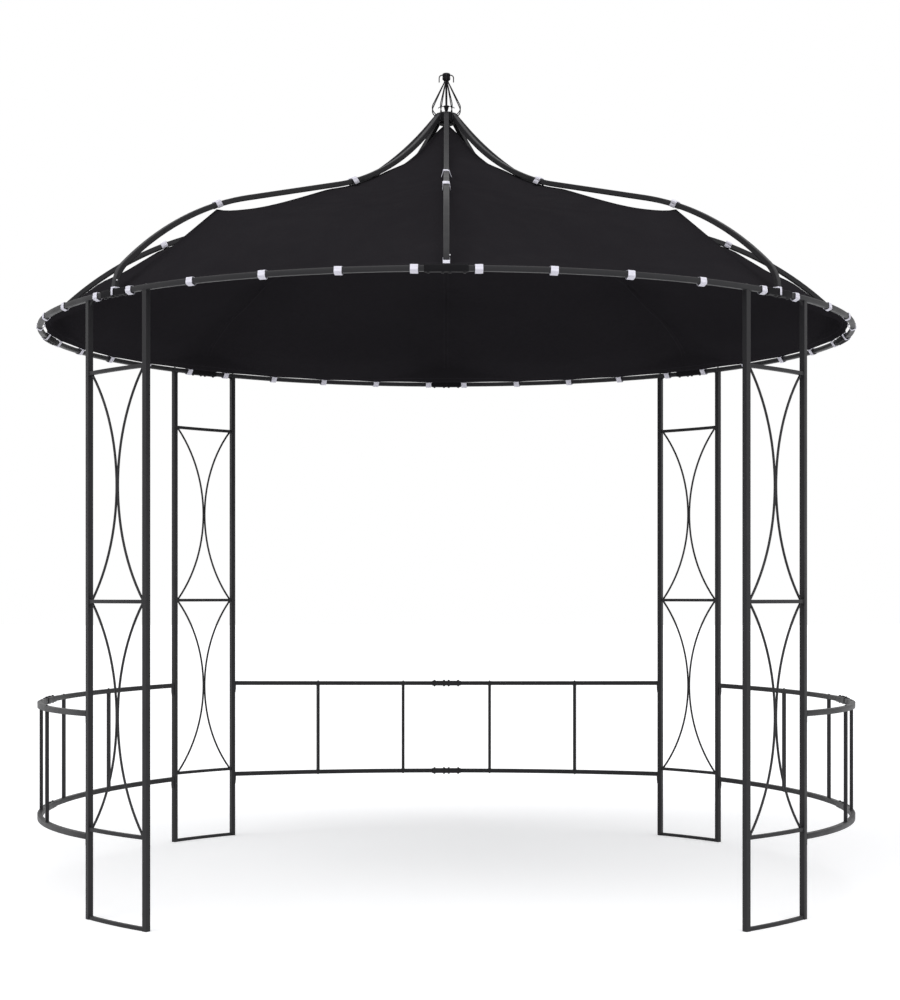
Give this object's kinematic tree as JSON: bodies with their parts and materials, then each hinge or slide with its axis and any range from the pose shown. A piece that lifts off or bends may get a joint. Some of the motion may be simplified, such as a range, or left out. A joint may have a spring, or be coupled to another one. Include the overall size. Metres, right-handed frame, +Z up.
{
  "type": "round gazebo",
  "caption": "Round garden gazebo of black steel tube with curved railings, filigree leg panels and a tight fabric roof under S-curved ribs.",
  "frame": {"origin": "middle of the circle on the ground, under the finial", "axes": "+Z up, the open front towards -Y, +X to the right seen from the front"},
  "size_m": [3.0048, 3.0043, 3.0114],
  "materials": {
    "frame_steel": "satin powder coat",
    "roof_fabric": "woven polyester",
    "strap_webbing": "woven webbing",
    "screw_steel": "zinc plated"
  },
  "bodies": {
    "root": {"panel_front_left": "frame_steel", "panel_front_right": "frame_steel", "panel_rear_left": "frame_steel", "panel_rear_right": "frame_steel", "railing_left_front": "frame_steel", "railing_left_rear": "frame_steel", "railing_rear_left": "frame_steel", "railing_rear_right": "frame_steel", "railing_right_front": "frame_steel", "railing_right_rear": "frame_steel", "railing_sleeves_left": "frame_steel", "railing_sleeves_rear": "frame_steel", "railing_sleeves_right": "frame_steel", "ring_segment_1": "frame_steel", "ring_segment_2": "frame_steel", "ring_segment_3": "frame_steel", "ring_segment_4": "frame_steel", "ring_segment_5": "frame_steel", "ring_segment_6": "frame_steel", "ring_segment_7": "frame_steel", "ring_segment_8": "frame_steel", "ring_sleeves": "frame_steel", "rib_front": "frame_steel", "rib_front_right": "frame_steel", "rib_right": "frame_steel", "rib_rear_right": "frame_steel", "rib_rear": "frame_steel", "rib_rear_left": "frame_steel", "rib_left": "frame_steel", "rib_front_left": "frame_steel", "crown_hub": "frame_steel", "finial_cage": "frame_steel", "finial_stem": "frame_steel", "finial_knob": "frame_steel", "canopy": "roof_fabric", "ring_straps": "strap_webbing", "rib_straps": "strap_webbing", "foot_straps": "strap_webbing"}
  },
  "joints": []
}
